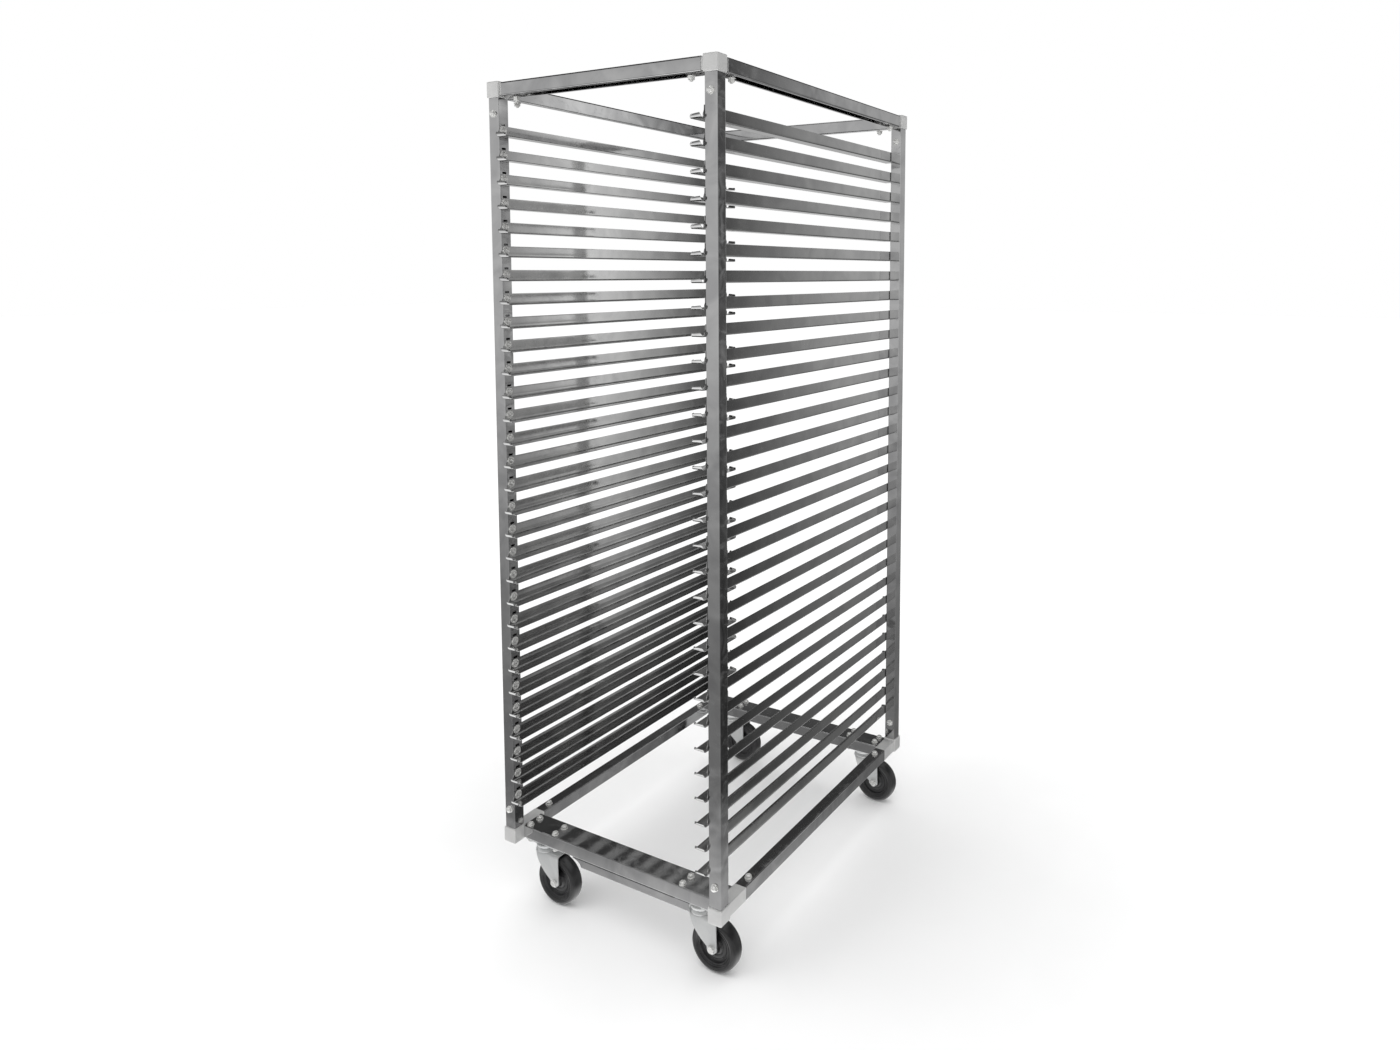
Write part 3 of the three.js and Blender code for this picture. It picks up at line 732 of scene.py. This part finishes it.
def add_rail(bm, bottom):
    """One rail as a middle surface; the sheet thickness comes from a modifier."""
    columns = rail_columns()
    first_ledge = 8
    tabs = tab_path()
    grid = []
    for index, (across, up) in enumerate(columns):
        x, z = WEB_X + across, bottom + up
        end = web_end(up) if index < 10 else NOSE_Y
        half = [(end, x, z), (end + 4 * MM, x, z), (POST_HIGH.y + 4 * MM, x, z)]
        rows = half + [(0.0, x, z)] + [(-y, a, b) for y, a, b in reversed(half)]
        grid.append([bm.verts.new((a, y, b)) for y, a, b in rows])
    for left, right in zip(grid, grid[1:]):
        for j in range(len(left) - 1):
            bm.faces.new((left[j], left[j + 1], right[j + 1], right[j]))
    low_x = WEB_X + columns[first_ledge][0]
    high_x = WEB_X + columns[-1][0]
    for side in (0, -1):
        sign = 1 if side == 0 else -1
        before = [column[side] for column in grid[first_ledge:]]
        for reach, rise, inset in tabs:
            row = []
            narrow = (high_x - low_x - 1.5 * inset) / (high_x - low_x)
            for across, up in columns[first_ledge:]:
                x = low_x + 0.5 * inset + (WEB_X + across - low_x) * narrow
                small = 1 - TIP_TAPER * ((x - low_x) / (high_x - low_x)) ** 1.5
                row.append(bm.verts.new((x, sign * (NOSE_Y - TIP_REACH * reach * small),
                                         bottom + up + TIP_HEIGHT * rise * small)))
            for j in range(len(row) - 1):
                bm.faces.new((before[j], before[j + 1], row[j + 1], row[j]))
            before = row


def add_fixing(bm, x, y, z, out):
    """Round flanged fixing that holds a web to its post."""
    r = FIXING_RADIUS
    profile = [(0, 0), (r, 0), (r, 0.5 * MM), (r - 0.7 * MM, 1.3 * MM), (r - 1.9 * MM, 1.7 * MM),
               (r - 3.0 * MM, 1.3 * MM), (r - 3.5 * MM, 0.5 * MM), (r - 4.3 * MM, 0.35 * MM),
               (2.2 * MM, 0.9 * MM), (0, 1.0 * MM)]
    add_lathe(bm, Vector((x, y, z)), "x", [(a, out * h) for a, h in profile], 32)


for side, right in SIDES:
    for bank in range(BANKS):
        bm = bmesh.new()
        dots = bmesh.new()
        for tier in range(bank * PER_BANK, (bank + 1) * PER_BANK):
            add_rail(bm, rail_bottom(tier))
            for end in (-1, 1):
                add_fixing(dots, WEB_X + SHEET, end * -(OUTER_Y + FIXING_Y),
                           rail_bottom(tier) + FIXING_Z, 1)
        flip(bm, right, False)
        flip(dots, right, False)
        label = f"{side}_{bank + 1}"
        make_piece(bm, "pan_rails_" + label, RAIL, "frame", ["rails_" + label],
                   thickness=SHEET, bevel=0.22 * MM, bevel_angle=50)
        make_piece(dots, "rail_fixings_" + label, BRIGHT, "frame", sharp=50)


# ---- Casters --------------------------------------------------------------------------------
PLATE_X = 33.75 * MM
PLATE_Y = 12.5 * MM
PLATE_HALF_X = 43 * MM
PLATE_HALF_Y = 18.5 * MM
PLATE = 3 * MM
FORK_SHEET = 2.5 * MM
LEG_MID = 16.25 * MM
FORK_BEND = 5 * MM
LEG_ROUND = 11 * MM
LEG_CURVE = 2
CROWN_FRONT = -24 * MM
CROWN_REAR = 43 * MM


def leg_limits(depth, axle_x, drop):
    """Left and right limits of a fork leg, depth measured down from the crown."""
    circle_top = drop - 2 * MM
    if depth >= circle_top:
        away = math.sqrt(max(0.0, LEG_ROUND ** 2 - (depth - drop) ** 2))
        return axle_x - away, axle_x + away
    part = depth / circle_top
    away = math.sqrt(LEG_ROUND ** 2 - (circle_top - drop) ** 2)
    left_top = -15 * MM
    left = left_top + (axle_x - away - left_top) * part ** LEG_CURVE
    right = 42.5 * MM + (axle_x + away - 42.5 * MM) * part
    return left, right


def add_fork(bm, x, y, top, axle_x, drop):
    """Pressed fork as a middle surface: leg, crown, leg. drop is crown to axle."""
    rows = []
    bottom = drop + LEG_ROUND - 0.15 * MM
    steps = 14
    leg = []
    for step in range(steps + 1):
        depth = bottom + (FORK_BEND - bottom) * (step / steps) ** 0.8
        leg.append((-LEG_MID, depth))
    for step in range(1, 5):
        turn = math.radians(90 * step / 5)
        leg.append((-LEG_MID + FORK_BEND * (1 - math.cos(turn)), FORK_BEND * (1 - math.sin(turn))))
    crown = [(-LEG_MID + FORK_BEND + (LEG_MID - FORK_BEND) * step / 3, 0.0) for step in range(3)]
    half = leg + crown
    path = half + [(0.0, 0.0)] + [(-a, d) for a, d in reversed(half)]
    across = 8
    for offset, depth in path:
        left, right = leg_limits(depth, axle_x, drop)
        if depth < FORK_BEND:
            blend = 1 - depth / FORK_BEND
            width = abs(offset) / LEG_MID
            nose = CROWN_FRONT * math.sqrt(max(0.0, 1 - 0.55 * width ** 2))
            left = left + (nose - left) * blend
            right = right + (CROWN_REAR - right) * blend
        rows.append([bm.verts.new((x + left + (right - left) * i / across, y + offset,
                                   top - depth)) for i in range(across + 1)])
    for first, second in zip(rows, rows[1:]):
        for i in range(across):
            bm.faces.new((first[i], first[i + 1], second[i + 1], second[i]))


AXLE_RADIUS = 4.9 * MM
AXLE_FLAT = 6.6 * MM
AXLE_HEAD = 4.6 * MM
AXLE_NUT = 5.0 * MM
SLEEVE_RADIUS = 6.8 * MM
SLEEVE_HALF = 14.7 * MM
JOINTS = {joint["name"]: Vector(joint["pos_m"]) for joint in frame["joints"]}


def mirrored_profile(half):
    """Wheel profile [(radius, half width)] from the bore side outwards, on both faces."""
    return [(r, -w) for r, w in half] + [(r, w) for r, w in reversed(half)]


TYRE_HALF = [(33.2, 9.6), (34.2, 10.6), (36.0, 10.8), (36.8, 12.0), (38.0, 12.8), (40.0, 13.1),
             (40.6, 12.6), (41.6, 12.6), (42.2, 13.1), (44.6, 12.9), (46.4, 11.9), (47.7, 9.8),
             (48.35, 6.5), (48.7, 0.01)]
CORE_HALF = [(7.2, 14.0), (9.6, 14.0), (10.4, 13.5), (11.0, 12.2), (12.2, 8.6), (13.6, 7.2),
             (16.5, 6.4), (17.2, 7.2), (18.4, 7.2), (19.1, 6.4), (23.5, 6.2), (24.2, 7.0),
             (25.4, 7.0), (26.1, 6.2), (28.6, 6.4), (29.6, 7.6), (30.2, 9.8), (31.0, 10.4),
             (32.6, 10.4), (33.1, 9.9)]

for corner, right, rear in CORNERS:
    axis_point = JOINTS["swivel_" + corner]
    axle = JOINTS["roll_" + corner]
    x, y = axis_point.x, axis_point.y
    mount_low, mount_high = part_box("caster_mount_" + corner)
    plate_top = FRAME_FLOOR + INSET - SEAM
    plate_under = plate_top - PLATE
    crown_top = axis_point.z
    tube_top = FRAME_FLOOR + INSET + TUBE

    bm = bmesh.new()
    outline = rounded_outline(x - PLATE_HALF_X, x + PLATE_HALF_X, y - PLATE_HALF_Y,
                              y + PLATE_HALF_Y, 5 * MM, 6)
    add_prism(bm, "z", outline, plate_under, plate_top)
    race = [(0, plate_under + 0.2 * MM), (22.0 * MM, plate_under + 0.2 * MM),
            (22.4 * MM, plate_under - 1.0 * MM), (21.6 * MM, plate_under - 4.6 * MM),
            (20.4 * MM, plate_under - 6.2 * MM), (17.5 * MM, plate_under - 6.5 * MM),
            (0, plate_under - 6.5 * MM)]
    add_lathe(bm, Vector((x, y, 0)), "z", race, 56)
    pin = [(0, plate_under - 5 * MM), (5.9 * MM, plate_under - 5 * MM),
           (5.9 * MM, crown_top - 3.0 * MM), (9.4 * MM, crown_top - 3.0 * MM),
           (9.8 * MM, crown_top - 3.5 * MM), (9.4 * MM, crown_top - 5.2 * MM), (0, crown_top - 5.4 * MM)]
    add_lathe(bm, Vector((x, y, 0)), "z", pin, 32)
    make_piece(bm, "caster_plate_" + corner, ZINC, "frame",
               ["caster_mount_" + corner], bevel=0.35 * MM)

    bm = bmesh.new()
    for sx in (-1, 1):
        for sy in (-1, 1):
            spot = Vector((x + sx * PLATE_X, y + sy * PLATE_Y, tube_top))
            add_bolt(bm, spot, "z", 1, phase=0.3 * sx + 0.2 * sy)
            add_hex(bm, Vector((spot.x, spot.y, 0)), "z", BOLT_FLAT, plate_under + 0.1 * MM,
                    plate_under - 4.4 * MM, 0.2)
    make_piece(bm, "caster_bolts_" + corner, BRIGHT, "frame", bevel=0.25 * MM,
               bevel_angle=30)

    bm = bmesh.new()
    middle = crown_top - FORK_SHEET / 2
    add_fork(bm, x, y, middle, axle.x - x, middle - axle.z)
    make_piece(bm, "caster_fork_sheet_" + corner, ZINC, "swivel_" + corner,
               ["caster_fork_" + corner], thickness=FORK_SHEET, bevel=0.5 * MM, bevel_angle=50)

    bm = bmesh.new()
    lower = [(6.3 * MM, crown_top - 0.2 * MM), (20.5 * MM, crown_top - 0.2 * MM),
             (21.0 * MM, crown_top + 1.4 * MM), (19.6 * MM, crown_top + 4.4 * MM),
             (18.6 * MM, crown_top + 6.0 * MM), (13.0 * MM, crown_top + 6.6 * MM),
             (6.3 * MM, crown_top + 6.6 * MM)]
    lower.append(lower[0])
    add_lathe(bm, Vector((x, y, 0)), "z", lower, 56)
    make_piece(bm, "caster_race_" + corner, ZINC, "swivel_" + corner)

    bm = bmesh.new()
    outer = LEG_MID + FORK_SHEET / 2
    for radius, reach in ((AXLE_RADIUS, outer), (SLEEVE_RADIUS, SLEEVE_HALF)):
        add_lathe(bm, axle, "y", [(0, -reach), (radius, -reach), (radius, reach), (0, reach)], 32)
    add_hex(bm, axle, "y", AXLE_FLAT, -outer + 0.02 * MM, -outer - AXLE_HEAD, 0.35)
    add_hex(bm, axle, "y", AXLE_FLAT, outer - 0.02 * MM, outer + AXLE_NUT, 0.1)
    end = [(0, outer), (4.6 * MM, outer), (4.6 * MM, outer + 6.4 * MM), (4.0 * MM, outer + 7.0 * MM),
           (0, outer + 7.0 * MM)]
    add_lathe(bm, axle, "y", end, 32)
    make_piece(bm, "axle_bolt_" + corner, BRIGHT, "swivel_" + corner,
               ["caster_axle_" + corner], bevel=0.3 * MM, bevel_angle=30)

    bm = bmesh.new()
    profile = [(r * MM, w * MM) for r, w in mirrored_profile(TYRE_HALF)]
    profile.append(profile[0])
    add_lathe(bm, axle, "y", profile, 96)
    bmesh.ops.remove_doubles(bm, verts=bm.verts[:], dist=0.02 * MM)
    make_piece(bm, "tyre_" + corner, TYRE, "wheel_" + corner, ["wheel_tyre_" + corner])

    bm = bmesh.new()
    profile = [(r * MM, w * MM) for r, w in mirrored_profile(CORE_HALF)]
    profile.append(profile[0])
    add_lathe(bm, axle, "y", profile, 80)
    bmesh.ops.remove_doubles(bm, verts=bm.verts[:], dist=0.02 * MM)
    make_piece(bm, "wheel_centre_" + corner, CORE, "wheel_" + corner,
               ["wheel_core_" + corner])


# ---- Floor, light and camera ----------------------------------------------------------------
FLOOR_HALF = 30.0
FLOOR_GAP = 0.3 * MM
SUN_POWER = 0.75
SUN_WIDTH = 70
SUN_TILT = (12, -10, 0)
AIM = (0, 0, 0.8)
KEY_PLACE = (-2.6, -3.6, 3.4)
KEY_SIZE = (3.0, 3.0)
KEY_POWER = 25
FILL_PLACE = (4.0, -1.0, 2.4)
FILL_SIZE = (2.4, 3.0)
FILL_POWER = 12


def make_floor():
    bm = bmesh.new()
    bmesh.ops.create_grid(bm, x_segments=2, y_segments=2, size=FLOOR_HALF)
    mesh = bpy.data.meshes.new("floor")
    bm.to_mesh(mesh)
    bm.free()
    floor = bpy.data.objects.new("floor", mesh)
    bpy.context.collection.objects.link(floor)
    floor.location.z = CAD_LOW.z - FLOOR_GAP
    floor.visible_glossy = False
    pale = bpy.data.materials.new("pale_floor")
    pale.use_nodes = True
    g = Graph(pale.node_tree)
    place = g.node("TexCoord").outputs["Object"]
    mottle = g.ramp(g.noise(place, 3.0, 3.0), (0.3, 0.88), (0.7, 0.905))
    shader = g.node("BsdfPrincipled", Base_Color=mottle, Roughness=0.9)
    shader.inputs["Specular IOR Level"].default_value = 0.1
    out = g.node("OutputMaterial")
    g.put(out, "Surface", shader.outputs["BSDF"])
    mesh.materials.append(pale)


make_floor()


def area_light(name, location, size, power):
    """Broad soft light aimed at the rack, not seen itself in the picture or in reflections."""
    data = bpy.data.lights.new(name, "AREA")
    data.shape = "RECTANGLE"
    data.size = size[0]
    data.size_y = size[1]
    data.energy = power
    light = bpy.data.objects.new(name, data)
    bpy.context.collection.objects.link(light)
    light.location = location
    light.rotation_euler = (Vector(AIM) - Vector(location)).to_track_quat("-Z", "Y").to_euler()
    light.visible_glossy = False
    light.visible_camera = False


def overhead_light():
    data = bpy.data.lights.new("overhead", "SUN")
    data.energy = SUN_POWER
    data.angle = math.radians(SUN_WIDTH)
    light = bpy.data.objects.new("overhead", data)
    bpy.context.collection.objects.link(light)
    light.rotation_euler = Euler([math.radians(angle) for angle in SUN_TILT])
    light.visible_glossy = False


overhead_light()
area_light("key", KEY_PLACE, KEY_SIZE, KEY_POWER)
area_light("fill", FILL_PLACE, FILL_SIZE, FILL_POWER)

# Panels round the studio that the metal reflects, as (heading, brightness). The heading is a part
# of a turn: 0 in front of the rack, 0.25 to its left, 0.5 behind it and 0.75 to its right.
SURROUND = ((0.0, 0.65), (0.15, 0.6), (0.20, 0.9), (0.25, 0.3), (0.30, 0.6), (0.44, 0.6),
            (0.52, 0.5), (0.575, 0.5), (0.598, 0.06), (0.617, 0.95), (0.636, 0.2), (0.67, 0.25),
            (0.76, 0.8), (0.84, 0.3), (0.90, 0.8), (0.97, 0.65))
# How the panels fade with height: 0 is straight down, 0.5 the horizon and 1 straight up.
RISE = ((0.0, 0.3), (0.30, 0.35), (0.36, 0.5), (0.45, 0.9), (0.5, 1.0), (0.60, 0.95), (0.67, 0.3),
        (0.73, 0.08), (0.86, 0.1), (1.0, 0.4))
NEAR_FLOOR = ((0.14, 1.0), (0.26, 0.0))
OVERHEAD = ((0.90, 0.0), (0.95, 1.0))
BRIGHT_END = 1.2


def make_world():
    """Plain white to the camera, and a ring of lighter and darker panels to reflections."""
    world = bpy.data.worlds.new("studio")
    bpy.context.scene.world = world
    world.cycles.sampling_method = "NONE"
    world.use_nodes = True
    g = Graph(world.node_tree)
    direction = g.node("TexCoord").outputs["Generated"]
    parts = g.node("SeparateXYZ", Vector=direction)
    x, y, z = parts.outputs[0], parts.outputs[1], parts.outputs[2]
    heading = g.maths("ARCTAN2", x, y)
    turn = g.maths("MULTIPLY_ADD", heading, 0.5 / math.pi, 0.5)
    panels = g.ramp(turn, *SURROUND)
    rise = g.maths("MULTIPLY_ADD", z, 0.5, 0.5)
    height = g.ramp(rise, *RISE)
    near_floor = g.ramp(rise, *NEAR_FLOOR)
    above = g.ramp(rise, *OVERHEAD)
    ends = g.maths("MAXIMUM", near_floor, above)
    glow = g.mix(ends, g.maths("MULTIPLY", panels, height), (BRIGHT_END, BRIGHT_END, BRIGHT_END, 1))
    surround = g.node("Background", Color=glow, Strength=1.0)
    plain = g.node("Background", Color=(1.0, 1.0, 1.0, 1), Strength=1.0)
    mirrored = g.node("LightPath").outputs["Is Glossy Ray"]
    both = g.node("MixShader", Fac=mirrored)
    g.put(both, "1", plain.outputs[0])
    g.put(both, "2", surround.outputs[0])
    out = g.node("OutputWorld")
    g.put(out, "Surface", both.outputs[0])


make_world()

CAMERA_PLACE = (1.18495, -1.70635, 1.26230)
CAMERA_PAN = 0.5227
CAMERA_TILT = -0.0849
CAMERA_ROLL = 0.0028
CAMERA_LENS = 25.05
CAMERA_SENSOR = 36.0
CAMERA_SHIFT = (-0.0726, -0.1211)


def make_camera():
    data = bpy.data.cameras.new("camera")
    data.sensor_width = CAMERA_SENSOR
    data.lens = CAMERA_LENS
    data.shift_x, data.shift_y = CAMERA_SHIFT
    camera = bpy.data.objects.new("camera", data)
    bpy.context.collection.objects.link(camera)
    turn = (Matrix.Rotation(CAMERA_PAN, 4, "Z") @ Matrix.Rotation(math.pi / 2 + CAMERA_TILT, 4, "X")
            @ Matrix.Rotation(CAMERA_ROLL, 4, "Z"))
    camera.matrix_world = Matrix.Translation(CAMERA_PLACE) @ turn
    bpy.context.scene.camera = camera


make_camera()
bpy.context.scene.view_settings.view_transform = "Standard"
